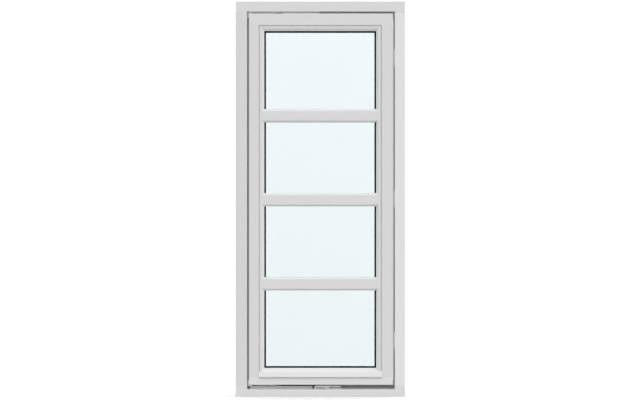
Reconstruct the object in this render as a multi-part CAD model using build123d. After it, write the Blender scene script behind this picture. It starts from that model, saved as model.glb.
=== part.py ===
from build123d import *
import os

# A timber pivot window whose sash swings on the hinge side and turns right over for cleaning.
# X runs to the lock side as seen from outside, Y runs into the room, Z runs up, all in mm.
# The origin is the middle of the underside of the frame.

# Outer frame
frame_width = 600.0
frame_height = 1400.0
frame_depth = 115.0
hinge_jamb_face = 40.5
lock_jamb_face = 36.5
head_face = 36.5
head_end_thickness = 41.0
sill_end_thickness = 39.0
sill_front_height = 25.0
sill_slope_rise = 14.0
jamb_thickness = 60.0
head_thickness = 56.0
sill_stop_height = 57.0
fixing_hole_radius = 5.0
fixing_hole_from_room_face = 22.0
fixing_hole_from_ends = 200.0
joint_groove_width = 1.6
joint_groove_depth = 0.8
room_arris_radius = 1.5

# Sash
sash_thickness = 66.0
sash_setback = 1.0
sash_side_gap = 7.0
sash_top_gap = 7.0
sash_bottom_gap = 17.5
hinge_stile_face = 34.0
lock_stile_face = 39.0
top_rail_face = 41.0
bottom_rail_face = 20.5
room_chamfer = 8.0
arris_radius = 1.5
sash_corner_radius = 4.0
drip_recess_height = 6.0
drip_recess_depth = 5.0

# Weather seal between the sash and the stop of the frame
seal_thickness = 4.0
seal_width = 8.0
seal_inset = 2.0

# Beads and the tall glazing profile under the glass
bead_set_back = 2.0
bead_depth = 13.0
quirk_width = 4.0
quirk_depth = 5.0
bead_flat = 7.5
side_bead_bevel = 8.5
top_bead_bevel = 9.2
bead_bevel_depth = 9.0
bead_arris_radius = 0.8
profile_height = 32.8
profile_slope = 15.0
profile_nose_reach = 5.5
profile_arris_radius = 1.5
drip_groove = 3.0
drip_groove_from_nose = 3.0

# Insulated glass and its gaskets
pane_thickness = 4.0
cavity_width = 16.0
pane_edge_cover = 14.0
gasket_thickness = 3.0
gasket_lip = 2.0
spacer_sight = 5.8
block_thickness = 6.0
block_length = 80.0

# Glazing bars, on both faces of the glass
bar_count = 3
bar_width = 47.5
bar_face = 34.0
bar_depth = 16.0
bar_chamfer_depth = 9.0
bar_arris_radius = 1.0
bar_spacer_width = 44.0

# Pivot fittings in the gaps over and under the sash
pivot_offset = 10.0
slider_from_sash_edge = 7.5
pivot_line_from_sash_front = 23.0
fitting_width = 16.0
arm_thickness = 2.5
arm_lift = 0.2
plate_thickness = 2.7
plate_width = 20.0
track_lift = 3.0
track_end_gap = 2.0
track_groove_width = 10.0
track_groove_depth = 3.0
slider_radius = 4.5
slider_height = 2.8
pin_radius = 3.0
pin_clearance = 0.3
shoe_leg_thickness = 5.0
shoe_leg_length = 16.5
shoe_nose_reach = 10.0
shoe_nose_length = 16.0
shoe_nose_height = 5.0
shoe_waist_width = 10.0
shoe_waist_length = 12.0
shoe_arm_gap = 21.0
tongue_thickness = 2.5
tongue_width = 14.0
tongue_reach = 12.0
tongue_lap = 6.0
housing_clearance = 0.3
bracket_length = 96.0
bracket_wide_length = 48.0
bracket_wide_reach = 20.0
bracket_tail_reach = 10.0
bracket_curve_length = 20.0
bracket_flange_drop = 6.5
bracket_step = 4.0
bracket_sash_clearance = 1.2
top_bracket_length = 24.0

# Lock on the edge of the lock stile
faceplate_thickness = 3.0
faceplate_width = 20.0
faceplate_end_margin = 17.5
faceplate_from_front = 10.5
keep_thickness = 3.0
keep_length = 60.0
keep_slot_length = 32.0
keep_slot_width = 10.0
cam_radius = 4.0
cam_height = 3.5
lock_from_ends = 200.0

# Handle on the room face of the lock stile
handle_height = 600.0
handle_from_sight = 25.0
rosette_width = 28.0
rosette_length = 66.0
rosette_thickness = 9.0
rosette_fillet = 3.0
neck_radius = 8.0
neck_length = 20.0
grip_width = 18.0
grip_depth = 13.0
grip_length = 118.0
grip_above_neck = 10.0
grip_fillet = 5.0

# Depths, from the outside to the room
frame_front = -frame_depth / 2
frame_back = frame_depth / 2
sash_front = frame_front + sash_setback
sash_back = sash_front + sash_thickness
stop_front = sash_back + seal_thickness
bead_front = sash_front + bead_set_back
gasket_front = bead_front + bead_depth
outer_pane_front = gasket_front + gasket_thickness
outer_pane_back = outer_pane_front + pane_thickness
inner_pane_front = outer_pane_back + cavity_width
inner_pane_back = inner_pane_front + pane_thickness
lip_front = inner_pane_back + gasket_thickness
pivot_line_y = sash_front + pivot_line_from_sash_front

# Widths, from the hinge side to the lock side
frame_left = -frame_width / 2
frame_right = frame_width / 2
rebate_left = frame_left + hinge_jamb_face
rebate_right = frame_right - lock_jamb_face
stop_left = frame_left + jamb_thickness
stop_right = frame_right - jamb_thickness
sash_left = rebate_left + sash_side_gap
sash_right = rebate_right - sash_side_gap
glazing_left = sash_left + hinge_stile_face
glazing_right = sash_right - lock_stile_face
side_bead_width = quirk_width + bead_flat + side_bead_bevel
sight_left = glazing_left + side_bead_width
sight_right = glazing_right - side_bead_width
pane_left = sight_left - pane_edge_cover
pane_right = sight_right + pane_edge_cover

# Heights, from the sill to the head
rebate_top = frame_height - head_face
stop_top = frame_height - head_thickness
head_joint = frame_height - head_end_thickness
sash_bottom = sill_front_height + sash_bottom_gap
sash_top = rebate_top - sash_top_gap
rail_face_top = sash_bottom + bottom_rail_face
profile_bottom = rail_face_top + drip_recess_height
sight_bottom = profile_bottom + profile_height
glazing_top = sash_top - top_rail_face
top_bead_width = quirk_width + bead_flat + top_bead_bevel
sight_top = glazing_top - top_bead_width
pane_bottom = sight_bottom - pane_edge_cover
pane_top = sight_top + pane_edge_cover
glazing_floor = pane_bottom - block_thickness
bracket_flange_height = sash_bottom - bracket_flange_drop
bar_pitch = (sight_top - gasket_lip - sight_bottom) / (bar_count + 1)
bar_heights = [sight_bottom + bar_pitch * (row + 1) for row in range(bar_count)]

# Pivot fittings: the arm is as long as the way from its sash pivot to the slider
pivot_x = -pivot_offset
slider_x = sash_left + slider_from_sash_edge
arm_reach = (pivot_x - slider_x) / 2
sash_pivot_x = pivot_x - arm_reach
shoe_plate_end = sash_pivot_x - fitting_width / 2 - shoe_arm_gap

# Screws, locking points and handle
fixing_hole_heights = (fixing_hole_from_ends, frame_height - fixing_hole_from_ends)
lock_heights = (lock_from_ends, frame_height / 2, frame_height - lock_from_ends)
handle_x = sight_right + handle_from_sight

# Room left past an outline where a cutter or a fitted piece must overrun it
overrun = 10.0


def block(x_low, x_high, y_low, y_high, z_low, z_high):
    """A rectangular solid between two corners."""
    centre = Pos((x_low + x_high) / 2, (y_low + y_high) / 2, (z_low + z_high) / 2)
    return centre * Box(x_high - x_low, y_high - y_low, z_high - z_low)


def bar_along_x(section, x_low, x_high):
    """A straight bar between two places in X, from the corners (y, z) of its section."""
    outline = Polyline([(x_low, y, z) for y, z in section], close=True)
    return extrude(make_face(outline), x_high - x_low, dir=(1, 0, 0))


def bar_along_z(section, z_low, z_high):
    """A straight bar between two heights, from the corners (x, y) of its section."""
    outline = Polyline([(x, y, z_low) for x, y in section], close=True)
    return extrude(make_face(outline), z_high - z_low, dir=(0, 0, 1))


def flat_ring(left, right, bottom, top, border, y_low, y_high):
    """A rectangular picture-frame ring of one border width, cut through along Y."""
    outside = block(left, right, y_low, y_high, bottom, top)
    hole = block(left + border, right - border, y_low, y_high, bottom + border, top - border)
    return outside - hole


def rounded_front(ring):
    """A ring with every edge of its outside face rounded."""
    return fillet(ring.edges().group_by(Axis.Y)[0], arris_radius)


def joint_groove(face_y, joint_z, x_low, x_high):
    """The fine V along a glued joint, cut into the outside face of both members."""
    half = joint_groove_width / 2
    section = [(face_y, joint_z - half), (face_y + joint_groove_depth, joint_z), (face_y, joint_z + half)]
    return bar_along_x(section, x_low, x_high)


def frame_ring():
    """The whole frame: a ring with a rebate for the sash, a stop behind it and a sloping sill."""
    ring = block(frame_left, frame_right, frame_front, frame_back, 0, frame_height)
    rebate_section = [
        (frame_front, sill_front_height),
        (stop_front, sill_front_height + sill_slope_rise),
        (stop_front, rebate_top),
        (frame_front, rebate_top),
    ]
    ring -= bar_along_x(rebate_section, rebate_left, rebate_right)
    ring -= block(stop_left, stop_right, stop_front, frame_back, sill_stop_height, stop_top)
    ring = fillet(ring.edges().group_by(Axis.Y)[-1], room_arris_radius)
    ring = rounded_front(ring)
    for joint_z in (sill_end_thickness, head_joint):
        ring -= joint_groove(frame_front, joint_z, frame_left, rebate_left)
        ring -= joint_groove(frame_front, joint_z, rebate_right, frame_right)
    return ring


def frame_head(ring):
    """The head runs over both jambs, and its stop hangs between their stops."""
    over_jambs = block(frame_left, frame_right, frame_front, frame_back, head_joint, frame_height)
    stop = block(stop_left, stop_right, frame_front, frame_back, stop_top, head_joint)
    return ring & (over_jambs + stop)


def frame_sill(ring):
    """The sill runs under both jambs, and its stop stands between their stops."""
    under_jambs = block(frame_left, frame_right, frame_front, frame_back, 0, sill_end_thickness)
    stop = block(stop_left, stop_right, stop_front, frame_back, sill_end_thickness, sill_stop_height)
    return ring & (under_jambs + stop)


def frame_jamb(ring, outer_x, stop_x):
    """One jamb, between sill and head, with its holes for the screws into the wall."""
    left, right = sorted((outer_x, stop_x))
    jamb = ring & block(left, right, frame_front, frame_back, sill_end_thickness, head_joint)
    hole_y = frame_back - fixing_hole_from_room_face
    for height in fixing_hole_heights:
        hole = Pos((left + right) / 2, hole_y, height) * Rot(0, 90, 0)
        jamb -= hole * Cylinder(fixing_hole_radius, right - left + overrun)
    return jamb


def sash_ring():
    """The whole sash: a ring with a rebate for the glass, open to the outside."""
    ring = block(sash_left, sash_right, sash_front, sash_back, sash_bottom, sash_top)
    ring = fillet(ring.edges().filter_by(Axis.Y), sash_corner_radius)
    ring -= block(glazing_left, glazing_right, gasket_front, lip_front, glazing_floor, glazing_top)
    ring -= block(glazing_left, glazing_right, sash_front, gasket_front, profile_bottom, glazing_top)
    sight = block(sight_left, sight_right, lip_front, sash_back, sight_bottom, sight_top)
    ring -= sight
    room_edges = ring.edges().group_by(Axis.Y)[-1]
    sight_edges = room_edges.filter_by_position(Axis.X, sight_left, sight_right)
    sight_edges = sight_edges.filter_by_position(Axis.Z, sight_bottom, sight_top)
    ring = rounded_front(chamfer(sight_edges, room_chamfer))
    for joint_z in (profile_bottom, glazing_top):
        ring -= joint_groove(sash_front, joint_z, sash_left, glazing_left)
        ring -= joint_groove(sash_front, joint_z, glazing_right, sash_right)
    return ring


def bottom_rail_zone():
    """The room that the bottom rail takes up: under the stiles, and between their rebates."""
    zone = block(sash_left, sash_right, sash_front, sash_back, sash_bottom, profile_bottom)
    zone += block(glazing_left, glazing_right, sash_front, lip_front, profile_bottom, sight_bottom)
    return zone + block(sight_left, sight_right, lip_front, sash_back, profile_bottom, sight_bottom)


def top_rail_zone():
    """The room that the top rail takes up: over the stiles, and between their lips."""
    zone = block(sash_left, sash_right, sash_front, sash_back, glazing_top, sash_top)
    return zone + block(sight_left, sight_right, lip_front, sash_back, sight_top, glazing_top)


def tongue_housing(edge_z, outward):
    """The shallow pocket in a rail that takes the tongue of a corner shoe."""
    z_low, z_high = sorted((edge_z - outward * tongue_thickness, edge_z))
    half_width = tongue_width / 2 + housing_clearance
    x_low = shoe_plate_end - tongue_lap - housing_clearance
    x_high = sash_pivot_x + tongue_reach + housing_clearance
    return block(x_low, x_high, pivot_line_y - half_width, pivot_line_y + half_width, z_low, z_high)


def sash_bottom_rail(ring):
    """The bottom rail, with a recess along its face that keeps water off the joint under the profile."""
    recess_section = [
        (sash_front, rail_face_top),
        (sash_front, profile_bottom),
        (sash_front + drip_recess_depth, profile_bottom),
    ]
    rail = ring & bottom_rail_zone()
    rail -= bar_along_x(recess_section, glazing_left, glazing_right)
    return rail - tongue_housing(sash_bottom, -1)


def sash_top_rail(ring):
    """The top rail, with the pocket for the upper corner shoe."""
    return (ring & top_rail_zone()) - tongue_housing(sash_top, 1)


def sash_stile(ring, x_low, x_high):
    """One stile, between the rails."""
    stile = ring & block(x_low, x_high, sash_front, sash_back, profile_bottom, glazing_top)
    return stile - bottom_rail_zone() - top_rail_zone()


def weather_seal():
    """The rubber seal on the stop, pressed by the room face of the sash."""
    reach = seal_width + seal_inset
    return flat_ring(
        stop_left - reach, stop_right + reach, sill_stop_height - reach, stop_top + reach,
        seal_width, sash_back, stop_front,
    )


def bottom_glazing_profile():
    """The tall sloping profile under the glass, with a nose that throws water clear of the rail."""
    slope_foot = sight_bottom - profile_slope
    nose_front = sash_front - profile_nose_reach
    section = [
        (gasket_front, profile_bottom),
        (gasket_front, sight_bottom),
        (gasket_front - profile_slope, slope_foot),
        (nose_front, profile_bottom),
    ]
    profile = bar_along_x(section, glazing_left, glazing_right)
    profile = fillet(profile.edges().filter_by(Axis.X).sort_by(Axis.Y)[:2], profile_arris_radius)
    groove_y = nose_front + drip_groove_from_nose
    return profile - block(
        glazing_left, glazing_right, groove_y, groove_y + drip_groove,
        profile_bottom, profile_bottom + drip_groove,
    )


def top_bead_outline():
    """The mitred outline of the top bead, extruded through its depth."""
    flat_end = quirk_width + bead_flat
    corners = [
        (glazing_left, glazing_top),
        (glazing_left + flat_end, glazing_top - flat_end),
        (sight_left, sight_top),
        (sight_right, sight_top),
        (glazing_right - flat_end, glazing_top - flat_end),
        (glazing_right, glazing_top),
    ]
    outline = Polyline([(x, sash_front, z) for x, z in corners], close=True)
    return extrude(make_face(outline), gasket_front - sash_front, dir=(0, 1, 0))


def bead_section(wall, bevel, direction):
    """Corners (across, y) of a bead that grows from the rebate wall in one direction."""
    quirk_end = wall + direction * quirk_width
    flat_end = quirk_end + direction * bead_flat
    sight_edge = flat_end + direction * bevel
    return [
        (wall, gasket_front),
        (wall, bead_front + quirk_depth),
        (quirk_end, bead_front + quirk_depth),
        (quirk_end, bead_front),
        (flat_end, bead_front),
        (sight_edge, bead_front + bead_bevel_depth),
        (sight_edge, gasket_front),
    ]


def eased_front(bar, axis):
    """A bar with the long edges of its outermost face eased."""
    return fillet(bar.edges().filter_by(axis).group_by(Axis.Y)[0], bead_arris_radius)


def top_bead():
    """The bead over the glass, mitred into the side beads."""
    section = [(y, z) for z, y in bead_section(glazing_top, top_bead_bevel, -1)]
    return eased_front(bar_along_x(section, glazing_left, glazing_right), Axis.X) & top_bead_outline()


def side_bead(wall, direction, profile):
    """One side bead, from the slope of the bottom profile up to the mitre."""
    section = bead_section(wall, side_bead_bevel, direction)
    bead = eased_front(bar_along_z(section, sight_bottom - profile_slope, glazing_top), Axis.Z)
    return bead - top_bead_outline() - profile


def glass_pane(y_low, y_high):
    """One pane of the sealed glass unit."""
    return block(pane_left, pane_right, y_low, y_high, pane_bottom, pane_top)


def glazing_gasket(y_low, y_high):
    """One gasket between glass and timber, with a lip that shows inside the sight line."""
    return flat_ring(
        pane_left, pane_right, pane_bottom, pane_top, pane_edge_cover + gasket_lip, y_low, y_high
    )


def edge_spacer():
    """The black spacer and sealant round the edge of the sealed glass unit."""
    border = pane_edge_cover + spacer_sight
    return flat_ring(pane_left, pane_right, pane_bottom, pane_top, border, outer_pane_back, inner_pane_front)


def setting_blocks():
    """Two blocks on the floor of the rebate that carry the glass unit."""
    quarter = (pane_right - pane_left) / 4
    centre = (pane_left + pane_right) / 2
    blocks = [
        block(
            place - block_length / 2, place + block_length / 2, outer_pane_front, inner_pane_back,
            glazing_floor, pane_bottom,
        )
        for place in (centre - quarter, centre + quarter)
    ]
    return Compound(blocks)


def glazing_bar(height, base_y, outward, x_low, x_high):
    """A bar glued to the glass at its base, with its two long edges chamfered away from the glass."""
    shoulder_y = base_y + outward * (bar_depth - bar_chamfer_depth)
    face_y = base_y + outward * bar_depth
    half_base = bar_width / 2
    half_face = bar_face / 2
    section = [
        (base_y, height - half_base),
        (shoulder_y, height - half_base),
        (face_y, height - half_face),
        (face_y, height + half_face),
        (shoulder_y, height + half_base),
        (base_y, height + half_base),
    ]
    bar = bar_along_x(section, x_low, x_high)
    edges_by_depth = bar.edges().filter_by(Axis.X).group_by(Axis.Y)
    eased = edges_by_depth[-2:] if outward > 0 else edges_by_depth[:2]
    return fillet(eased[0] + eased[1], bar_arris_radius)


def outer_bar(height, neighbours):
    """An outside bar, its ends scribed over the bevels of the side beads."""
    x_low = sight_left - side_bead_bevel
    x_high = sight_right + side_bead_bevel
    bar = glazing_bar(height, outer_pane_front, -1, x_low, x_high)
    for neighbour in neighbours:
        bar -= neighbour
    return bar


def inner_bar(height, gasket):
    """A room-side bar between the sight edges of the stiles."""
    return glazing_bar(height, inner_pane_back, 1, sight_left, sight_right) - gasket


def bar_spacers():
    """Spacer strips inside the glass unit, one behind each bar."""
    half = bar_spacer_width / 2
    left = sight_left + spacer_sight
    right = sight_right - spacer_sight
    strips = [
        block(left, right, outer_pane_back, inner_pane_front, height - half, height + half)
        for height in bar_heights
    ]
    return Compound(strips)


def levels(edge_z, outward, start, end):
    """Two heights measured from the edge of the sash towards the frame, the lower one first."""
    return sorted((edge_z + outward * start, edge_z + outward * end))


def pivot_pin(x, radius, edge_z, outward, start, end):
    """An upright round pin on the pivot line, between two levels."""
    z_low, z_high = levels(edge_z, outward, start, end)
    return Pos(x, pivot_line_y, (z_low + z_high) / 2) * Cylinder(radius, z_high - z_low)


def fitting_depth(width):
    """The two sides in Y of a piece of one width on the pivot line."""
    return pivot_line_y - width / 2, pivot_line_y + width / 2


def guide_arm(edge_z, outward):
    """A flat steel arm between the pivot on the frame and the pivot on the sash."""
    z_low, z_high = levels(edge_z, outward, arm_lift, arm_lift + arm_thickness)
    middle = Pos((pivot_x + sash_pivot_x) / 2, pivot_line_y, z_low)
    arm = middle * extrude(SlotCenterToCenter(arm_reach, fitting_width), z_high - z_low)
    for x in (pivot_x, sash_pivot_x):
        arm -= pivot_pin(x, pin_radius + pin_clearance, edge_z, outward, 0, track_lift)
    return arm


def guide_track(edge_z, outward, frame_z, frame_piece):
    """The track on the frame, grooved for the slider of the corner shoe."""
    y_low, y_high = fitting_depth(fitting_width)
    z_low, z_high = sorted((edge_z + outward * track_lift, frame_z))
    x_high = pivot_x - top_bracket_length + fitting_width / 2 - track_end_gap
    track = block(slider_x - slider_radius, x_high, y_low, y_high, z_low, z_high)
    groove_low, groove_high = fitting_depth(track_groove_width)
    floor = levels(edge_z, outward, track_lift, track_lift + track_groove_depth)
    groove = block(slider_x - overrun, x_high, groove_low, groove_high, floor[0], floor[1])
    return track - groove - frame_piece


def corner_shoe(edge_z, outward):
    """The shoe on the corner of the sash: a leg on the stile, a plate on the rail, a slider and a pin."""
    y_low, y_high = fitting_depth(plate_width)
    nose_y = y_low - shoe_nose_reach
    leg_x = sash_left - shoe_leg_thickness
    plate = levels(edge_z, outward, 0, plate_thickness)
    nose = levels(edge_z, outward, 0, shoe_nose_height)
    leg = levels(edge_z, outward, -shoe_leg_length, plate_thickness)
    tongue = levels(edge_z, outward, -tongue_thickness, 0)
    waist_start = leg_x + shoe_nose_length
    waist_end = waist_start + shoe_waist_length
    shoe = block(leg_x, sash_left, nose_y, y_high, leg[0], leg[1])
    shoe += block(leg_x, waist_start, nose_y, y_low, nose[0], nose[1])
    shoe += block(leg_x, waist_start, y_low, y_high, plate[0], plate[1])
    shoe += block(waist_start, waist_end, y_high - shoe_waist_width, y_high, plate[0], plate[1])
    shoe += block(waist_end, shoe_plate_end, y_low, y_high, plate[0], plate[1])
    tongue_low, tongue_high = fitting_depth(tongue_width)
    tongue_start = shoe_plate_end - tongue_lap
    tongue_end = sash_pivot_x + tongue_reach
    shoe += block(tongue_start, tongue_end, tongue_low, tongue_high, tongue[0], tongue[1])
    shoe += pivot_pin(slider_x, slider_radius, edge_z, outward, 0, plate_thickness + slider_height)
    return shoe + pivot_pin(sash_pivot_x, pin_radius, edge_z, outward, -tongue_thickness, plate_thickness)


def top_pivot_bracket():
    """A short plate under the head that holds the pivot pin of the upper arm."""
    y_low, y_high = fitting_depth(fitting_width)
    x_high = pivot_x + fitting_width / 2
    plate = block(x_high - top_bracket_length, x_high, y_low, y_high, sash_top + track_lift, rebate_top)
    return plate + pivot_pin(pivot_x, pin_radius, sash_top, 1, arm_lift, track_lift)


def bracket_plan(step, z_low, z_high):
    """The plan of the sill bracket, wide round the pivot and narrow along its tail, drawn in by a step."""
    left = pivot_x - bracket_wide_length / 4 + step
    right = left + bracket_length - 2 * step
    wide_end = left + bracket_wide_length - step - bracket_curve_length / 2
    wide_front = pivot_line_y - bracket_wide_reach + step
    tail_front = pivot_line_y - bracket_tail_reach + step
    back = pivot_line_y + bracket_tail_reach
    start = (wide_end, wide_front, z_low)
    end = (wide_end + bracket_curve_length, tail_front, z_low)
    curve = Spline(start, end, tangents=((1, 0, 0), (1, 0, 0)))
    corners = [(right, tail_front), (right, back), (left, back), (left, wide_front)]
    sides = Polyline([end, *[(x, y, z_low) for x, y in corners], start])
    return extrude(make_face(curve + sides), z_high - z_low, dir=(0, 0, 1))


def bottom_pivot_bracket(sill):
    """The cast bracket on the sill that holds the pivot pin of the lower arm."""
    bracket = bracket_plan(0, sill_front_height, bracket_flange_height)
    bracket += bracket_plan(bracket_step, bracket_flange_height, sash_bottom - bracket_sash_clearance)
    y_low, y_high = fitting_depth(plate_width)
    arm_end = pivot_x + fitting_width / 2 + housing_clearance
    arm_floor = sash_bottom - track_lift
    bracket -= block(frame_left, arm_end, y_low, y_high, arm_floor, sash_bottom)
    bracket += pivot_pin(pivot_x, pin_radius, sash_bottom, -1, arm_lift, track_lift)
    return bracket - sill


def lock_faceplate():
    """The steel strip of the lock, along the edge of the lock stile."""
    y_low = sash_front + faceplate_from_front
    return block(
        sash_right, sash_right + faceplate_thickness, y_low, y_low + faceplate_width,
        sash_bottom + faceplate_end_margin, sash_top - faceplate_end_margin,
    )


def locking_cams():
    """The locking cams that stand on the faceplate and slide into the keeps."""
    cam_y = sash_front + faceplate_from_front + faceplate_width / 2
    cam_x = sash_right + faceplate_thickness + cam_height / 2
    cam = Rot(0, 90, 0) * Cylinder(cam_radius, cam_height)
    return Compound([Pos(cam_x, cam_y, height) * cam for height in lock_heights])


def lock_keep(height):
    """One keep on the lock jamb, with the slot that its cam slides into."""
    y_low = sash_front + faceplate_from_front
    y_middle = y_low + faceplate_width / 2
    x_low = rebate_right - keep_thickness
    plate = block(
        x_low, rebate_right, y_low, y_low + faceplate_width,
        height - keep_length / 2, height + keep_length / 2,
    )
    return plate - block(
        x_low, rebate_right, y_middle - keep_slot_width / 2, y_middle + keep_slot_width / 2,
        height - keep_slot_length / 2, height + keep_slot_length / 2,
    )


def handle_rosette():
    """The base of the handle, on the room face of the lock stile."""
    base = block(
        handle_x - rosette_width / 2, handle_x + rosette_width / 2, sash_back, sash_back + rosette_thickness,
        handle_height - rosette_length / 2, handle_height + rosette_length / 2,
    )
    base = fillet(base.edges().filter_by(Axis.Y), rosette_width / 3)
    return fillet(base.faces().sort_by(Axis.Y)[-1].edges(), rosette_fillet)


def handle_lever():
    """The lever of the handle, hanging down in its closed position."""
    neck_start = sash_back + rosette_thickness
    neck_end = neck_start + neck_length
    grip_top = handle_height + grip_above_neck
    grip = block(
        handle_x - grip_width / 2, handle_x + grip_width / 2, neck_end, neck_end + grip_depth,
        grip_top - grip_length, grip_top,
    )
    grip = fillet(grip.edges(), grip_fillet)
    neck = Pos(handle_x, (neck_start + neck_end + grip_fillet) / 2, handle_height) * Rot(90, 0, 0)
    return grip + neck * Cylinder(neck_radius, neck_length + grip_fillet)


def window_nodes():
    """Every piece of the window under its own name."""
    frame = frame_ring()
    sash = sash_ring()
    sill = frame_sill(frame)
    head = frame_head(frame)
    profile = bottom_glazing_profile()
    hinge_bead = side_bead(glazing_left, 1, profile)
    lock_bead = side_bead(glazing_right, -1, profile)
    outer_gasket = glazing_gasket(gasket_front, outer_pane_front)
    inner_gasket = glazing_gasket(inner_pane_back, lip_front)
    nodes = {
        "frame_head": head,
        "frame_sill": sill,
        "frame_jamb_hinge_side": frame_jamb(frame, frame_left, stop_left),
        "frame_jamb_lock_side": frame_jamb(frame, frame_right, stop_right),
        "sash_top_rail": sash_top_rail(sash),
        "sash_bottom_rail": sash_bottom_rail(sash),
        "sash_stile_hinge_side": sash_stile(sash, sash_left, sight_left),
        "sash_stile_lock_side": sash_stile(sash, sight_right, sash_right),
        "weather_seal": weather_seal(),
        "bottom_glazing_profile": profile,
        "glazing_bead_top": top_bead(),
        "glazing_bead_hinge_side": hinge_bead,
        "glazing_bead_lock_side": lock_bead,
        "outer_pane": glass_pane(outer_pane_front, outer_pane_back),
        "inner_pane": glass_pane(inner_pane_front, inner_pane_back),
        "edge_spacer": edge_spacer(),
        "outer_glazing_gasket": outer_gasket,
        "inner_glazing_gasket": inner_gasket,
        "setting_blocks": setting_blocks(),
        "bar_spacers": bar_spacers(),
        "guide_arm_top": guide_arm(sash_top, 1),
        "guide_arm_bottom": guide_arm(sash_bottom, -1),
        "guide_track_top": guide_track(sash_top, 1, rebate_top, head),
        "guide_track_bottom": guide_track(sash_bottom, -1, sill_front_height, sill),
        "corner_shoe_top": corner_shoe(sash_top, 1),
        "corner_shoe_bottom": corner_shoe(sash_bottom, -1),
        "pivot_bracket_top": top_pivot_bracket(),
        "pivot_bracket_bottom": bottom_pivot_bracket(sill),
        "lock_faceplate": lock_faceplate(),
        "locking_cams": locking_cams(),
        "handle_rosette": handle_rosette(),
        "handle_lever": handle_lever(),
    }
    for number, height in enumerate(bar_heights, start=1):
        nodes[f"outer_glazing_bar_{number}"] = outer_bar(height, (hinge_bead, lock_bead, outer_gasket))
        nodes[f"inner_glazing_bar_{number}"] = inner_bar(height, inner_gasket)
    for number, height in enumerate(lock_heights, start=1):
        nodes[f"lock_keep_{number}"] = lock_keep(height)
    return nodes


os.makedirs("parts", exist_ok=True)
for name, shape in window_nodes().items():
    export_step(shape, f"parts/{name}.step")
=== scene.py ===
import math

import bmesh
import bpy
from mathutils import Matrix, Vector


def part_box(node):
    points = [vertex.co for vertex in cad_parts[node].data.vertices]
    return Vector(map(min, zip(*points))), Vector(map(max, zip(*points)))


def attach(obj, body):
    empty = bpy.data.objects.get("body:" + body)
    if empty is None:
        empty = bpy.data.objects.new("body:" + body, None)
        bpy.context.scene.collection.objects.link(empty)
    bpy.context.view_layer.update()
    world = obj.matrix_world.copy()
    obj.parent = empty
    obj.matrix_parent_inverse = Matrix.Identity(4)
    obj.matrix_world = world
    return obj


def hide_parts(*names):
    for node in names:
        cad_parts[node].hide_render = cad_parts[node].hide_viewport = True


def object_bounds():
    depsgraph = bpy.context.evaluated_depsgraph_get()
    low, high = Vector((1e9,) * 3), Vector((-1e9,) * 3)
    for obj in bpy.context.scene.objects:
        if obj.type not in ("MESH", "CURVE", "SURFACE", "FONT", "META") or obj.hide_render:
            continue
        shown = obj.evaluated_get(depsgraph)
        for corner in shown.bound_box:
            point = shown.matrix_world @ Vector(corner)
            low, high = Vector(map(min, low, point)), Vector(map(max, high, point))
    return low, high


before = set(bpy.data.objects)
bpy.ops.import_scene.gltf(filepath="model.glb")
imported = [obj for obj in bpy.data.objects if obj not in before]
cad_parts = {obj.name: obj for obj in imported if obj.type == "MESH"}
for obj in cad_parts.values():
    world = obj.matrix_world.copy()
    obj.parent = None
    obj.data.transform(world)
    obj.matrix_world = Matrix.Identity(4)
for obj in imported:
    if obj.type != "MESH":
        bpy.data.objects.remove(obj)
cad_low, cad_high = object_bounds()

# The outer frame: planed pine members, jointed and glued at the corners and sprayed with a satin
# white paint. The grain shows faintly through the film, along each member.
paint = (0.783, 0.785, 0.783)
paint_thin, paint_thick = 0.985, 1.012
paint_gloss = (0.36, 0.46)
paint_clouds = 9.0
grain_closeness = 40.0
grain_scale = 7.0
grain_relief = (0.00012, 0.35)
film_scale = 650.0
film_relief = (0.00004, 0.25)
noise_low, noise_high = 0.3, 0.7
# Each member's tone is painted light and shade: the lock side jamb lighter and the hinge side jamb
# darker, as the light falls on them.
frame_painted_light_tones = {
    "frame_head": ("X", 1.0),
    "frame_sill": ("X", 1.0),
    "frame_jamb_hinge_side": ("Z", 0.965),
    "frame_jamb_lock_side": ("Z", 1.09),
}


def new_finish(name, **constants):
    """A material whose shader holds the given constants; an underscore stands for a space."""
    finish = bpy.data.materials.new(name)
    finish.use_nodes = True
    shader = finish.node_tree.nodes["Principled BSDF"]
    for socket, value in constants.items():
        shader.inputs[socket.replace("_", " ")].default_value = value
    return finish


def pattern(finish, spacing, scale, detail=2.0, roughness=0.5):
    """A noise over the object, stretched by a spacing in X, Y and Z; returns its value socket."""
    nodes, links = finish.node_tree.nodes, finish.node_tree.links
    place = nodes.new("ShaderNodeTexCoord")
    stretch = nodes.new("ShaderNodeMapping")
    stretch.inputs["Scale"].default_value = spacing
    noise = nodes.new("ShaderNodeTexNoise")
    noise.inputs["Scale"].default_value = scale
    noise.inputs["Detail"].default_value = detail
    noise.inputs["Roughness"].default_value = roughness
    links.new(place.outputs["Object"], stretch.inputs["Vector"])
    links.new(stretch.outputs["Vector"], noise.inputs["Vector"])
    return noise.outputs["Fac"]


def between(finish, value, low, high, start=noise_low, end=noise_high):
    """The value mapped from its usual range to one between low and high."""
    spread = finish.node_tree.nodes.new("ShaderNodeMapRange")
    spread.inputs["From Min"].default_value = start
    spread.inputs["From Max"].default_value = end
    spread.inputs["To Min"].default_value = low
    spread.inputs["To Max"].default_value = high
    finish.node_tree.links.new(value, spread.inputs["Value"])
    return spread.outputs["Result"]


def colours(finish, value, *stops):
    """Paints the shader's base colour by a value, from stops of (place on the value, colour)."""
    nodes, links = finish.node_tree.nodes, finish.node_tree.links
    ramp = nodes.new("ShaderNodeValToRGB")
    marks = ramp.color_ramp.elements
    while len(marks) < len(stops):
        marks.new(1.0)
    for mark, (position, colour) in zip(marks, stops):
        mark.position = position
        mark.color = (*colour, 1.0)
    links.new(value, ramp.inputs["Fac"])
    links.new(ramp.outputs["Color"], nodes["Principled BSDF"].inputs["Base Color"])


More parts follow.
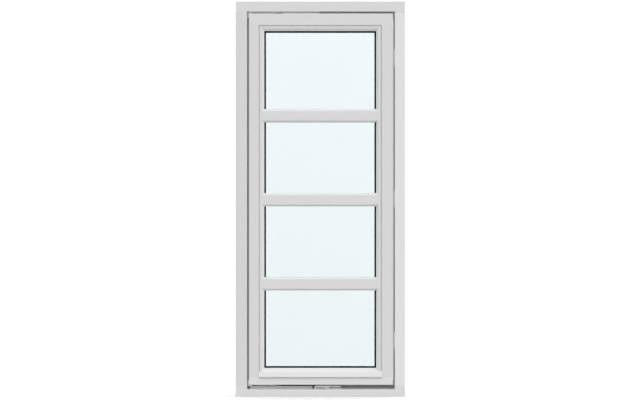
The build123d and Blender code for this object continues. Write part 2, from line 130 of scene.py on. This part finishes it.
def mottled(finish, value, low, high):
    """Paints the base colour from one colour to another over the usual range of a noise."""
    colours(finish, value, (noise_low, low), (noise_high, high))


def relief(finish, *layers):
    """Raises the surface by (value, height in metres, strength) layers, one bump on the other."""
    nodes, links = finish.node_tree.nodes, finish.node_tree.links
    under = None
    for value, height, strength in layers:
        bump = nodes.new("ShaderNodeBump")
        bump.inputs["Distance"].default_value = height
        bump.inputs["Strength"].default_value = strength
        links.new(value, bump.inputs["Height"])
        if under is not None:
            links.new(under, bump.inputs["Normal"])
        under = bump.outputs["Normal"]
    links.new(under, nodes["Principled BSDF"].inputs["Normal"])


def gloss(finish, value, low, high):
    """Varies the roughness between two levels by a value."""
    shader = finish.node_tree.nodes["Principled BSDF"]
    finish.node_tree.links.new(between(finish, value, low, high), shader.inputs["Roughness"])


def painted_timber(name, along, tone):
    """Satin paint on pine whose grain runs along one axis; its tone makes the member lighter or
    darker, a painted light and shade.
    """
    finish = new_finish(name, Coat_Weight=0.05, Coat_Roughness=0.25)
    along_x = (1.0, grain_closeness, grain_closeness)
    along_z = (grain_closeness, grain_closeness, 1.0)
    grain = pattern(
        finish, along_x if along == "X" else along_z, grain_scale, detail=5.0, roughness=0.6
    )
    film = pattern(finish, (1, 1, 1), film_scale, detail=1.0)
    clouds = pattern(finish, (1, 1, 1), paint_clouds, detail=3.0)
    low = [paint_thin * tone * level for level in paint]
    high = [paint_thick * tone * level for level in paint]
    mottled(finish, grain, low, high)
    gloss(finish, clouds, *paint_gloss)
    relief(finish, (grain, *grain_relief), (film, *film_relief))
    return finish


def dress(node, finish):
    """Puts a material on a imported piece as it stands."""
    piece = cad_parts[node]
    if not piece.material_slots:
        piece.data.materials.append(finish)
    for slot in piece.material_slots:
        slot.material = finish


def paint_nodes(tones):
    """Gives each timber node its own material, lighter or darker by its tone, which paints the light
    and shade on it.
    """
    for node, (along, tone) in tones.items():
        dress(node, painted_timber("paint_" + node, along, tone))


paint_nodes(frame_painted_light_tones)

# The sash: two rails and two stiles of the same pine, sprayed before the glass goes in.
# Its outer arrises are rounded so that the paint doesn't thin out there.
# Each member's tone is painted light and shade: the bottom rail a little lighter and the stiles a
# little darker, as the light falls on them.
sash_painted_light_tones = {
    "sash_top_rail": ("X", 1.0),
    "sash_bottom_rail": ("X", 1.05),
    "sash_stile_hinge_side": ("Z", 0.98),
    "sash_stile_lock_side": ("Z", 0.985),
}
paint_nodes(sash_painted_light_tones)

# The beads are thin mouldings pinned round the glass, mitred over it and coped on the tall sloping
# profile under it, which throws the rain clear of the bottom rail.
# The top bead's tone is a painted shade: darker because its bevel faces down.
bead_painted_shade_tones = {
    "glazing_bead_top": ("X", 0.975),
    "glazing_bead_hinge_side": ("Z", 1.0),
    "glazing_bead_lock_side": ("Z", 1.0),
    "bottom_glazing_profile": ("X", 1.0),
}
paint_nodes(bead_painted_shade_tones)

# The glazing bars: flat painted strips with a chamfer along both edges, glued on the outside and the
# inside of the glass so that one large unit looks like four panes.
bar_tones = {}
for number in (1, 2, 3):
    bar_tones[f"outer_glazing_bar_{number}"] = ("X", 1.0)
    bar_tones[f"inner_glazing_bar_{number}"] = ("X", 1.0)
paint_nodes(bar_tones)

# The sealed glass unit: two float panes with a faint blue green cast. Drawn float glass is never dead
# flat, so it has a slow wave, and a film of dust that takes the edge off its mirror.
glass_tint = (0.954, 0.993, 1.0, 1.0)
glass_bend = 1.5
dust_scale = 6.0
dust_gloss = (0.0, 0.02)
wave_stretch = (1, 1, 0.35)
wave_scale = 3.0
wave_relief = (0.0002, 0.15)
for pane in ("outer_pane", "inner_pane"):
    glass = new_finish(
        "float_glass_" + pane, Base_Color=glass_tint, Transmission_Weight=1.0, IOR=glass_bend
    )
    gloss(glass, pattern(glass, (1, 1, 1), dust_scale, detail=4.0), *dust_gloss)
    relief(glass, (pattern(glass, wave_stretch, wave_scale), *wave_relief))
    dress(pane, glass)

# The edge of the unit: a black plastic spacer bedded in butyl, and a spacer strip of the same stuff
# behind each glazing bar. Both are matt and pick up a little dust.
spacer_black = (0.003, 0.003, 0.0035)
spacer_worn = (0.006, 0.006, 0.0065)
spacer_dust_scale = 120.0
spacer_gloss = (0.45, 0.6)
spacer_skin_scale = 900.0
spacer_relief = (0.00005, 0.4)
spacer_finish = new_finish("black_spacer", Specular_IOR_Level=0.15)
spacer_dust = pattern(spacer_finish, (1, 1, 1), spacer_dust_scale, detail=3.0)
mottled(spacer_finish, spacer_dust, spacer_black, spacer_worn)
gloss(spacer_finish, spacer_dust, *spacer_gloss)
relief(spacer_finish, (pattern(spacer_finish, (1, 1, 1), spacer_skin_scale), *spacer_relief))
dress("edge_spacer", spacer_finish)
dress("bar_spacers", spacer_finish)

# Setting blocks of grey plastic on the floor of the rebate carry the weight of the glass unit.
# They are sawn from a speckled strip and left as they are.
block_dark = (0.09, 0.09, 0.1)
block_light = (0.12, 0.12, 0.13)
block_speckle_scale = 300.0
block_relief = (0.00008, 0.4)
block_finish = new_finish("setting_block_plastic", Roughness=0.55)
block_speckle = pattern(block_finish, (1, 1, 1), block_speckle_scale, detail=2.0)
mottled(block_finish, block_speckle, block_dark, block_light)
relief(block_finish, (block_speckle, *block_relief))
dress("setting_blocks", block_finish)

# Extruded rubber gaskets press on both faces of the glass. Each has a flat back, a rounded lip that
# stands inside the sight line and a shallow groove, and is welded at its mitred corners.
rubber_black = (0.0025, 0.0028, 0.003)
rubber_grey = (0.005, 0.0055, 0.006)
rubber_gloss = (0.5, 0.68)
chalk_scale = 60.0
die_scale = 1400.0
die_relief = (0.00003, 0.3)
gasket_border = 0.016
groove_start, groove_middle, groove_end = 0.45, 0.5, 0.55
groove_depth = 0.5
lip_steps = 10
weld_reach = 0.000001
smooth_up_to_degrees = 32.0


def new_piece(name, shape, finish):
    """A Blender object at the origin, made from a finished shape and its material."""
    mesh = bpy.data.meshes.new(name)
    bmesh.ops.recalc_face_normals(shape, faces=shape.faces)
    if shape.calc_volume(signed=True) < 0:
        bmesh.ops.reverse_faces(shape, faces=shape.faces)
    for face in shape.faces:
        face.smooth = True
    shape.to_mesh(mesh)
    shape.free()
    mesh.set_sharp_from_angle(angle=math.radians(smooth_up_to_degrees))
    mesh.materials.append(finish)
    piece = bpy.data.objects.new(name, mesh)
    bpy.context.scene.collection.objects.link(piece)
    return piece


def stand_in(name, shape, finish, node):
    """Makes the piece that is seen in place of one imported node."""
    piece = new_piece(name, shape, finish)
    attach(piece, "root")
    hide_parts(node)


def mitred_ring(section, left, right, bottom, top):
    """A strip of one section (inward, y), run round a rectangle and mitred at its four corners."""
    ring = bmesh.new()
    points = [ring.verts.new((left + inward, y, bottom + inward)) for inward, y in section]
    open_end = [ring.edges.new(pair) for pair in zip(points, points[1:] + points[:1])]
    middle = Vector(((left + right) / 2, 0, (bottom + top) / 2))
    for flip in ((-1, 1, 1), (1, 1, -1), (-1, 1, 1), (1, 1, -1)):
        grown = bmesh.ops.extrude_edge_only(ring, edges=open_end)["geom"]
        moved = [part for part in grown if isinstance(part, bmesh.types.BMVert)]
        lines = [part for part in grown if isinstance(part, bmesh.types.BMEdge)]
        open_end = [line for line in lines if line.is_boundary]
        bmesh.ops.scale(ring, vec=flip, space=Matrix.Translation(-middle), verts=moved)
    bmesh.ops.remove_doubles(ring, verts=ring.verts, dist=weld_reach)
    return ring


def arc(centre, radius, start, end, steps):
    """Points (inward, y) on an arc between two angles in degrees."""
    turns = [math.radians(start + (end - start) * step / steps) for step in range(steps + 1)]
    return [
        (centre[0] + radius * math.cos(turn), centre[1] + radius * math.sin(turn)) for turn in turns
    ]


def rubber(name):
    """Black weathering rubber, faintly chalky, with the drag lines of the die."""
    finish = new_finish(name, Specular_IOR_Level=0.12)
    chalk = pattern(finish, (1, 1, 1), chalk_scale, detail=4.0)
    mottled(finish, chalk, rubber_black, rubber_grey)
    gloss(finish, chalk, *rubber_gloss)
    relief(finish, (pattern(finish, (1, 1, 1), die_scale), *die_relief))
    return finish


gasket_rubber = rubber("glazing_rubber")
for node in ("outer_glazing_gasket", "inner_glazing_gasket"):
    gasket_low, gasket_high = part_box(node)
    half_thickness = (gasket_high.y - gasket_low.y) / 2
    lip_centre = (gasket_border - half_thickness, gasket_low.y + half_thickness)
    gasket_section = [
        (0.0, gasket_low.y),
        (gasket_border * groove_start, gasket_low.y),
        (gasket_border * groove_middle, gasket_low.y + half_thickness * groove_depth),
        (gasket_border * groove_end, gasket_low.y),
        *arc(lip_centre, half_thickness, -90, 90, lip_steps),
        (0.0, gasket_high.y),
    ]
    gasket_shape = mitred_ring(
        gasket_section, gasket_low.x, gasket_high.x, gasket_low.z, gasket_high.z
    )
    stand_in(node.replace("gasket", "rubber"), gasket_shape, gasket_rubber, node)

# The weather seal sits on the stop of the frame: a flat foot with a hollow bulb that the room face of
# the shut sash squeezes.
seal_low, seal_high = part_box("weather_seal")
seal_width = 0.008
seal_foot = 0.0012
bulb_round = 0.0019
bulb_start, bulb_end = -200, 20
bulb_steps = 10
bulb_centre = (seal_width / 2, seal_low.y + bulb_round)
seal_section = [
    (0.0, seal_high.y - seal_foot),
    *arc(bulb_centre, bulb_round, bulb_start, bulb_end, bulb_steps),
    (seal_width, seal_high.y - seal_foot),
    (seal_width, seal_high.y),
    (0.0, seal_high.y),
]
seal_shape = mitred_ring(seal_section, seal_low.x, seal_high.x, seal_low.z, seal_high.z)
stand_in("weather_seal_bulb", seal_shape, rubber("seal_rubber"), "weather_seal")

# The pivot fittings over and under the sash: a flat pressed arm, a corner shoe whose slider runs in
# the track, and a bracket on the head. They are tumbled so that no edge is sharp, and zinc plated;
# the arm at the sill is painted near black, a painted shade, and the arm at the head near white, a
# painted light.
zinc_dark = (0.78, 0.78, 0.77)
zinc_light = (0.88, 0.88, 0.87)
# Near white plate: a painted light, for the light in the gaps round the sash.
painted_lit_dark = (0.93, 0.93, 0.92)
painted_lit_light = (0.98, 0.98, 0.97)
painted_lit_metal = 0.03
# Near black plate: a painted shade, for the shade under the sash.
painted_shade_dark = (0.09, 0.09, 0.085)
painted_shade_light = (0.15, 0.15, 0.142)
plated_metal = 0.4
zinc_gloss = (0.34, 0.5)
crystal_scale = 90.0
scratch_stretch = (20, 400, 400)
scratch_relief = (0.00003, 0.3)
sharp_from_degrees = 28.0
flat_within_degrees = 1.0
merge_reach = 0.00001
pressed_edge = 0.0005


def zinc_plate(name, dark, light, metal=plated_metal):
    """Zinc plated steel: soft cloudy crystals and fine scratches, dull rather than mirror bright."""
    finish = new_finish(name, Metallic=metal)
    crystals = pattern(finish, (1, 1, 1), crystal_scale, detail=3.0)
    scratches = pattern(finish, scratch_stretch, 1.0, detail=3.0)
    mottled(finish, crystals, dark, light)
    gloss(finish, crystals, *zinc_gloss)
    relief(finish, (scratches, *scratch_relief))
    return finish


def tumbled(node, edge, steps=2):
    """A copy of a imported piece, merged to whole faces, with its sharp edges rounded."""
    shape = bmesh.new()
    shape.from_mesh(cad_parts[node].data)
    bmesh.ops.remove_doubles(shape, verts=shape.verts, dist=merge_reach)
    bmesh.ops.dissolve_limit(
        shape, angle_limit=math.radians(flat_within_degrees), verts=shape.verts, edges=shape.edges
    )
    sharp = [
        line for line in shape.edges
        if line.is_manifold and line.calc_face_angle() > math.radians(sharp_from_degrees)
    ]
    bmesh.ops.bevel(
        shape, geom=sharp, offset=edge, affect="EDGES", segments=steps, profile=0.5, material=-1,
        clamp_overlap=True,
    )
    return shape


pressed_steel = zinc_plate("pressed_zinc_plate", zinc_dark, zinc_light)
painted_shade_steel = zinc_plate("painted_shade_zinc_plate", painted_shade_dark, painted_shade_light)
painted_lit_steel = zinc_plate("painted_lit_zinc_plate", painted_lit_dark, painted_lit_light, painted_lit_metal)
for level, arm_steel in (("top", painted_lit_steel), ("bottom", painted_shade_steel)):
    arm, shoe = f"guide_arm_{level}", f"corner_shoe_{level}"
    stand_in(f"pressed_arm_{level}", tumbled(arm, pressed_edge), arm_steel, arm)
    stand_in(f"tumbled_shoe_{level}", tumbled(shoe, pressed_edge), pressed_steel, shoe)
head_bracket = "pivot_bracket_top"
stand_in("head_bracket", tumbled(head_bracket, pressed_edge), pressed_steel, head_bracket)

# The sill bracket carries the sash: a stepped zinc casting whose tone goes in bands by height, with
# painted shade at its top under the sash and below its flange, and a painted highlight along the rim
# of its flange.
sill_bracket = "pivot_bracket_bottom"
cast_edge = 0.0018
cast_edge_steps = 3
cast_warmth = (1.0, 0.995, 0.965)
# Bands of painted shade and painted highlight: (share of the height, tone).
cast_painted_light_bands = ((0.2, 0.60), (0.38, 0.36), (0.52, 0.88), (0.66, 0.88), (0.76, 0.36), (0.94, 0.38))
cast_ragged = 0.03
cast_gloss = (0.36, 0.52)
cast_relief = (0.0001, 0.3)


def painted_light_cast_plate(name, node):
    """Plated zinc casting whose tone goes by its height in bands of painted shade and painted
    highlight, with a ragged change between them.
    """
    finish = new_finish(name, Metallic=plated_metal)
    nodes, links = finish.node_tree.nodes, finish.node_tree.links
    low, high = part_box(node)
    crystals = pattern(finish, (1, 1, 1), crystal_scale, detail=3.0)
    place = nodes.new("ShaderNodeSeparateXYZ")
    links.new(nodes.new("ShaderNodeTexCoord").outputs["Object"], place.inputs["Vector"])
    height = nodes.new("ShaderNodeMath")
    height.operation = "ADD"
    links.new(between(finish, place.outputs["Z"], 0.0, 1.0, low.z, high.z), height.inputs[0])
    links.new(between(finish, crystals, -cast_ragged, cast_ragged), height.inputs[1])
    stops = [(share, [tone * level for level in cast_warmth]) for share, tone in cast_painted_light_bands]
    colours(finish, height.outputs["Value"], *stops)
    gloss(finish, crystals, *cast_gloss)
    relief(finish, (crystals, *cast_relief))
    return finish


stand_in(
    "cast_sill_bracket", tumbled(sill_bracket, cast_edge, cast_edge_steps),
    painted_light_cast_plate("cast_zinc_painted_light", sill_bracket), sill_bracket,
)

# The tracks are an aluminium extrusion, anodised, with the drawing lines of the die along them. The
# front lip of the one in the sill lies lower, so that water runs out of its groove.
track_edge = 0.0003
track_edge_steps = 1
# The sill track is darker: a painted shade, for the shade under the sash.
track_tones_with_painted_shade = {"top": 0.88, "bottom": 0.68}
track_metal = 0.25
track_gloss = (0.45, 0.55)
drawn_shade = 0.96
drawn_stretch = (6, 900, 900)
drawn_relief = (0.00003, 0.3)
sill_track_drop = 0.0022
sill_track_rim = 0.00045


def anodised(name, tone):
    """Aluminium as drawn and anodised, with the lines of the die along it; the sill track's darker
    tone is a painted shade.
    """
    finish = new_finish(name, Metallic=track_metal)
    die_lines = pattern(finish, drawn_stretch, 1.0, detail=2.0)
    mottled(finish, die_lines, [tone * drawn_shade] * 3, [tone] * 3)
    gloss(finish, die_lines, *track_gloss)
    relief(finish, (die_lines, *drawn_relief))
    return finish


for level, tone in track_tones_with_painted_shade.items():
    track = f"guide_track_{level}"
    track_shape = tumbled(track, track_edge, track_edge_steps)
    if level == "bottom":
        rim_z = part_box(track)[1].z - sill_track_rim
        upper = [corner for corner in track_shape.verts if corner.co.z > rim_z]
        bmesh.ops.translate(track_shape, vec=(0, 0, -sill_track_drop), verts=upper)
    track_finish = anodised(f"anodised_aluminium_{level}", tone)
    stand_in(f"anodised_track_{level}", track_shape, track_finish, track)

# The lock: a long steel faceplate let in along the lock stile and screwed to it, with three cams that
# slide into keeps screwed to the jamb. The screws are low, with a six lobed recess.
# The lock's steel is near white: a painted light, for the light in the gap on the lock side.
lock_painted_lit_steel = zinc_plate("lock_painted_lit_zinc_plate", painted_lit_dark, painted_lit_light, painted_lit_metal)
plate_edge = 0.0004
cam_edge = 0.0007
cam_edge_steps = 3
screw_round = 0.0036
screw_height = 0.0007
screw_facets = 24
screw_taper = 0.88
screw_rim = 0.2
screw_dish = 0.12
recess_lobes = 6
recess_pinch = 0.78
recess_depth = 0.62
screw_spacing = 0.16
screw_margin = 0.03
keep_screw_margin = 0.008
faceplate_low, faceplate_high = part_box("lock_faceplate")
faceplate_middle = (faceplate_low + faceplate_high) / 2
lock_side, hinge_side = (1, 0, 0), (-1, 0, 0)


def facing(seat, outward):
    """The place of a small round part on its seat, turned to look outward."""
    turn = Vector((0, 0, 1)).rotation_difference(Vector(outward)).to_matrix().to_4x4()
    return Matrix.Translation(Vector(seat)) @ turn


def round_stub(shape, seat, outward, radius, taper, height, facets):
    """Adds a low round stub on its seat; returns its top face."""
    place = facing(seat, outward)
    made = bmesh.ops.create_cone(
        shape, cap_ends=True, segments=facets, radius1=radius, radius2=radius * taper, depth=height,
        matrix=place @ Matrix.Translation((0, 0, height / 2)),
    )["verts"]
    caps = {face for corner in made for face in corner.link_faces}
    return max(caps, key=lambda face: face.calc_center_median().dot(Vector(outward)))


def screw_head(shape, seat, outward):
    """Adds a low screw head with an eased rim and a six lobed recess."""
    top = round_stub(shape, seat, outward, screw_round, screw_taper, screw_height, screw_facets)
    rim_width = screw_round * screw_rim
    bmesh.ops.inset_individual(
        shape, faces=[top], thickness=rim_width, depth=screw_height * screw_dish
    )
    bmesh.ops.inset_individual(shape, faces=[top], thickness=rim_width)
    middle = top.calc_center_median()
    lobe = screw_facets // recess_lobes
    pinched = [corner for step, corner in enumerate(top.verts) if step % lobe < lobe / 2]
    bmesh.ops.scale(
        shape, vec=[recess_pinch] * 3, space=Matrix.Translation(-middle), verts=pinched
    )
    floor = bmesh.ops.extrude_discrete_faces(shape, faces=[top])["faces"][0]
    sunk = -recess_depth * screw_height * Vector(outward)
    bmesh.ops.translate(shape, vec=sunk, verts=floor.verts)


faceplate_shape = tumbled("lock_faceplate", plate_edge)
screw_run = faceplate_high.z - faceplate_low.z - 2 * screw_margin
screw_steps = round(screw_run / screw_spacing)
for step in range(screw_steps + 1):
    screw_z = faceplate_low.z + screw_margin + screw_run * step / screw_steps
    screw_head(faceplate_shape, (faceplate_high.x, faceplate_middle.y, screw_z), lock_side)
stand_in("screwed_faceplate", faceplate_shape, lock_painted_lit_steel, "lock_faceplate")
cam_shapes = tumbled("locking_cams", cam_edge, cam_edge_steps)
stand_in("turned_cams", cam_shapes, lock_painted_lit_steel, "locking_cams")
for number in (1, 2, 3):
    keep = f"lock_keep_{number}"
    keep_low, keep_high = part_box(keep)
    keep_shape = tumbled(keep, plate_edge)
    for screw_z in (keep_low.z + keep_screw_margin, keep_high.z - keep_screw_margin):
        screw_head(keep_shape, (keep_low.x, faceplate_middle.y, screw_z), hinge_side)
    stand_in(f"screwed_keep_{number}", keep_shape, lock_painted_lit_steel, keep)

# The rosette of the handle on the room side: a die cast plate with round corners and a soft rim,
# powder coated in the colour of the window, with a raised collar where the lever turns.
handle_white = (0.80, 0.80, 0.79)
handle_shade = (0.78, 0.78, 0.77)
powder_scale = 1200.0
powder_relief = (0.00002, 0.3)
powder_clouds = 30.0
powder_gloss = (0.28, 0.38)
rosette_corner = 0.009
rosette_corner_steps = 10
rosette_rim = 0.0026
rosette_rim_steps = 5
collar_round = 0.0118
collar_rise = 0.0016
collar_facets = 28
collar_taper = 0.9
collar_shoulder = (0.25, 0.3)
collar_crown = (0.3, 0.2)
room_side = (0, 1, 0)
handle_finish = new_finish("handle_powder_coat", Coat_Weight=0.1)
powder = pattern(handle_finish, (1, 1, 1), powder_scale, detail=1.0)
mottled(handle_finish, powder, handle_shade, handle_white)
gloss(handle_finish, pattern(handle_finish, (1, 1, 1), powder_clouds), *powder_gloss)
relief(handle_finish, (powder, *powder_relief))

rosette_low, rosette_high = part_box("handle_rosette")
rosette_middle = (rosette_low + rosette_high) / 2
plate_back, plate_front = rosette_low.y, rosette_high.y - collar_rise
plate_size = (
    rosette_high.x - rosette_low.x, plate_front - plate_back, rosette_high.z - rosette_low.z
)
plate_middle = (rosette_middle.x, (plate_front + plate_back) / 2, rosette_middle.z)
rosette_shape = bmesh.new()
plate = bmesh.ops.create_cube(rosette_shape, size=1.0)["verts"]
bmesh.ops.scale(rosette_shape, vec=plate_size, verts=plate)
bmesh.ops.translate(rosette_shape, vec=plate_middle, verts=plate)
corners = [
    line for line in rosette_shape.edges
    if abs(line.verts[0].co.y - line.verts[1].co.y) > plate_size[1] / 2
]
bmesh.ops.bevel(
    rosette_shape, geom=corners, offset=rosette_corner, affect="EDGES",
    segments=rosette_corner_steps, profile=0.5, material=-1,
)
rim = [
    line for line in rosette_shape.edges
    if min(corner.co.y for corner in line.verts) > plate_middle[1]
]
bmesh.ops.bevel(
    rosette_shape, geom=rim, offset=rosette_rim, affect="EDGES",
    segments=rosette_rim_steps, profile=0.5, material=-1,
)
collar_seat = (rosette_middle.x, plate_front, rosette_middle.z)
collar_top = round_stub(
    rosette_shape, collar_seat, room_side, collar_round, collar_taper, collar_rise / 2, collar_facets
)
for width, rise in (collar_shoulder, collar_crown):
    bmesh.ops.inset_individual(
        rosette_shape, faces=[collar_top], thickness=collar_round * width, depth=collar_rise * rise
    )
stand_in("soft_rosette", rosette_shape, handle_finish, "handle_rosette")

# The lever of the handle, die cast and coated with the rosette. Its round neck turns down into an
# oval grip that narrows at its waist and swells a little at its end.
lever_low, lever_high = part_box("handle_lever")
neck_round = 0.0078
neck_waist = neck_round * 0.92
neck_elbow = neck_round * 0.95
grip_width = lever_high.x - lever_low.x
grip_depth = 0.012
oval_facets = 32
elbow_steps = 6
elbow_round = lever_high.z - rosette_middle.z
grip_y = lever_high.y - grip_depth / 2
grip_top = rosette_middle.z - elbow_round
grip_run = grip_top - lever_low.z
elbow_start = grip_y - elbow_round
# Each row is a share of the grip's run, and of its width and depth there.
grip_ovals = (
    (0.12, 0.97, 1.0),
    (0.45, 0.82, 0.92),
    (0.75, 0.88, 0.94),
    (0.92, 0.96, 1.0),
    (0.97, 0.9, 0.93),
    (0.992, 0.66, 0.66),
    (1.0, 0.3, 0.3),
)
ovals = [
    (lever_low.y, rosette_middle.z, 0, neck_round, neck_round),
    ((lever_low.y + elbow_start) / 2, rosette_middle.z, 0, neck_waist, neck_waist),
]
for step in range(elbow_steps + 1):
    turn = step / elbow_steps
    angle = math.radians(90 * turn)
    y = elbow_start + elbow_round * math.sin(angle)
    z = rosette_middle.z - elbow_round * (1 - math.cos(angle))
    half_width = neck_elbow + (grip_width / 2 - neck_elbow) * turn
    half_depth = neck_elbow + (grip_depth / 2 - neck_elbow) * turn
    ovals.append((y, z, 90 * turn, half_width, half_depth))
for share, width, depth in grip_ovals:
    z = grip_top - grip_run * share
    ovals.append((grip_y, z, 90, width * grip_width / 2, depth * grip_depth / 2))

lever_shape = bmesh.new()
last_ring = None
for y, z, tilt, half_width, half_depth in ovals:
    place = Matrix.Translation((rosette_middle.x, y, z))
    place = place @ Matrix.Rotation(math.radians(tilt - 90), 4, "X")
    place = place @ Matrix.Diagonal((half_width, half_depth, 1, 1))
    ring = bmesh.ops.create_circle(
        lever_shape, segments=oval_facets, radius=1.0, matrix=place
    )["verts"]
    ring_lines = list({line for corner in ring for line in corner.link_edges})
    if last_ring is None:
        bmesh.ops.contextual_create(lever_shape, geom=ring_lines)
    else:
        bmesh.ops.bridge_loops(lever_shape, edges=last_ring + ring_lines)
    last_ring = ring_lines
bmesh.ops.contextual_create(lever_shape, geom=last_ring)
stand_in("oval_lever", lever_shape, handle_finish, "handle_lever")

# The studio floor: a pale matte sheet that the window stands on. It takes the window's soft shadow,
# and throws no light back on it.
floor_half_width = 2.6
floor_front, floor_back = -2.6, 2.2
floor_light = (0.93, 0.93, 0.93)
floor_shade = (0.91605, 0.91605, 0.91605)
floor_grain_scale = 40.0
floor_finish = new_finish("studio_floor", Roughness=0.85)
floor_grain = pattern(floor_finish, (1, 1, 1), floor_grain_scale, detail=4.0)
mottled(floor_finish, floor_grain, floor_shade, floor_light)
floor_shape = bmesh.new()
floor_corners = bmesh.ops.create_grid(floor_shape, x_segments=1, y_segments=1, size=1.0)["verts"]
floor_size = (floor_half_width, (floor_back - floor_front) / 2, 1)
floor_middle = (0, (floor_front + floor_back) / 2, 0)
bmesh.ops.scale(floor_shape, vec=floor_size, verts=floor_corners)
bmesh.ops.translate(floor_shape, vec=floor_middle, verts=floor_corners)
studio_floor = new_piece("studio_floor", floor_shape, floor_finish)
studio_floor.visible_diffuse = False
studio_floor.visible_glossy = False
studio_floor.visible_shadow = False

# The camera stands far off on the outside, level with the middle of the window and square to the
# face of the frame.
picture_width = 640
picture_middle = (320.0, 200.0)
frame_middle_in_picture = (320.35, 199.0)
metres_per_pixel = 0.003539
lens_length = 300.0
sensor_width = 36.0
view_end = 200.0
window_middle = (cad_low + cad_high) / 2
camera = bpy.data.objects.new("catalogue_camera", bpy.data.cameras.new("catalogue_camera"))
camera.data.lens = lens_length
camera.data.sensor_width = sensor_width
camera.data.clip_end = view_end
camera_distance = lens_length / sensor_width * picture_width * metres_per_pixel
camera.location = (
    window_middle.x + (picture_middle[0] - frame_middle_in_picture[0]) * metres_per_pixel,
    cad_low.y - camera_distance,
    window_middle.z - (picture_middle[1] - frame_middle_in_picture[1]) * metres_per_pixel,
)
camera.rotation_euler = (math.radians(90), 0, 0)
bpy.context.scene.collection.objects.link(camera)
bpy.context.scene.camera = camera
bpy.context.scene.view_settings.view_transform = "Standard"

# The studio light: a soft sky that is brighter above and towards the lock side, with a dark card
# round the camera, a rim of light round the window and less light on the room side. The camera sees
# a backdrop instead, white behind the window and pale grey to the sides.
sky_level = 0.365
sky_slope_to_lock, sky_slope_up = 0.31, 0.56
rim_light, rim_start, rim_full = 1.22, -0.83, -0.2
room_shade, room_start, room_full = -1.0, -0.2, 0.15
behind_light, behind_start = 0.55, 0.3
card_shade, card_start = -0.60, 0.92
flag_shade, flag_start = -0.38, 0.6
backdrop_grey = 0.60
backdrop_white, backdrop_start = 0.55, 0.9
sky = bpy.data.worlds.new("studio_light")
sky.use_nodes = True
bpy.context.scene.world = sky


def sky_math(operation, first, second):
    """One step of the sky's sum; each side is a socket or a plain number."""
    step = sky.node_tree.nodes.new("ShaderNodeMath")
    step.operation = operation
    for socket, side in zip(step.inputs, (first, second)):
        if isinstance(side, float):
            socket.default_value = side
        else:
            sky.node_tree.links.new(side, socket)
    return step.outputs["Value"]


def sky_patch(along, strength, start, full=1.0):
    """A part of the sky that grows to a strength between two values along an axis."""
    patch = sky.node_tree.nodes.new("ShaderNodeMapRange")
    patch.interpolation_type = "SMOOTHSTEP"
    patch.inputs["From Min"].default_value = start
    patch.inputs["From Max"].default_value = full
    patch.inputs["To Max"].default_value = strength
    sky.node_tree.links.new(along, patch.inputs["Value"])
    return patch.outputs["Result"]


sky_direction = sky.node_tree.nodes.new("ShaderNodeTexCoord").outputs["Generated"]
sky_axes = sky.node_tree.nodes.new("ShaderNodeSeparateXYZ")
sky.node_tree.links.new(sky_direction, sky_axes.inputs["Vector"])
to_lock, to_room, upward = (sky_axes.outputs[axis] for axis in "XYZ")
to_camera = sky_math("MULTIPLY", to_room, -1.0)
sky_light = sky_level
for part in (
    sky_math("MULTIPLY", to_lock, sky_slope_to_lock),
    sky_math("MULTIPLY", upward, sky_slope_up),
    sky_patch(to_room, rim_light, rim_start, rim_full),
    sky_patch(to_room, room_shade, room_start, room_full),
    sky_patch(to_room, behind_light, behind_start),
    sky_patch(to_camera, card_shade, card_start),
    sky_patch(to_lock, flag_shade, flag_start),
):
    sky_light = sky_math("ADD", sky_light, part)
seen = sky.node_tree.nodes.new("ShaderNodeLightPath").outputs["Is Camera Ray"]
unseen = sky_math("SUBTRACT", 1.0, seen)
backdrop = sky_math("ADD", backdrop_grey, sky_patch(to_room, backdrop_white, backdrop_start))
sky_light = sky_math(
    "ADD", sky_math("MULTIPLY", sky_light, unseen), sky_math("MULTIPLY", backdrop, seen)
)
background = sky.node_tree.nodes["Background"]
background.inputs["Color"].default_value = (1.0, 1.0, 1.0, 1.0)
sky.node_tree.links.new(sky_light, background.inputs["Strength"])

# A lamp in line with the camera, as a flash on it would be. It reaches into the gaps round the sash,
# and doesn't show in the glass.
front_light = 0.80
front_light_spread_degrees = 6.0
lamp = bpy.data.lights.new("front_light", "SUN")
lamp.energy = front_light
lamp.angle = math.radians(front_light_spread_degrees)
lamp_stand = bpy.data.objects.new("front_light", lamp)
lamp_stand.rotation_euler = camera.rotation_euler
lamp_stand.visible_glossy = False
lamp_stand.visible_transmission = False
bpy.context.scene.collection.objects.link(lamp_stand)
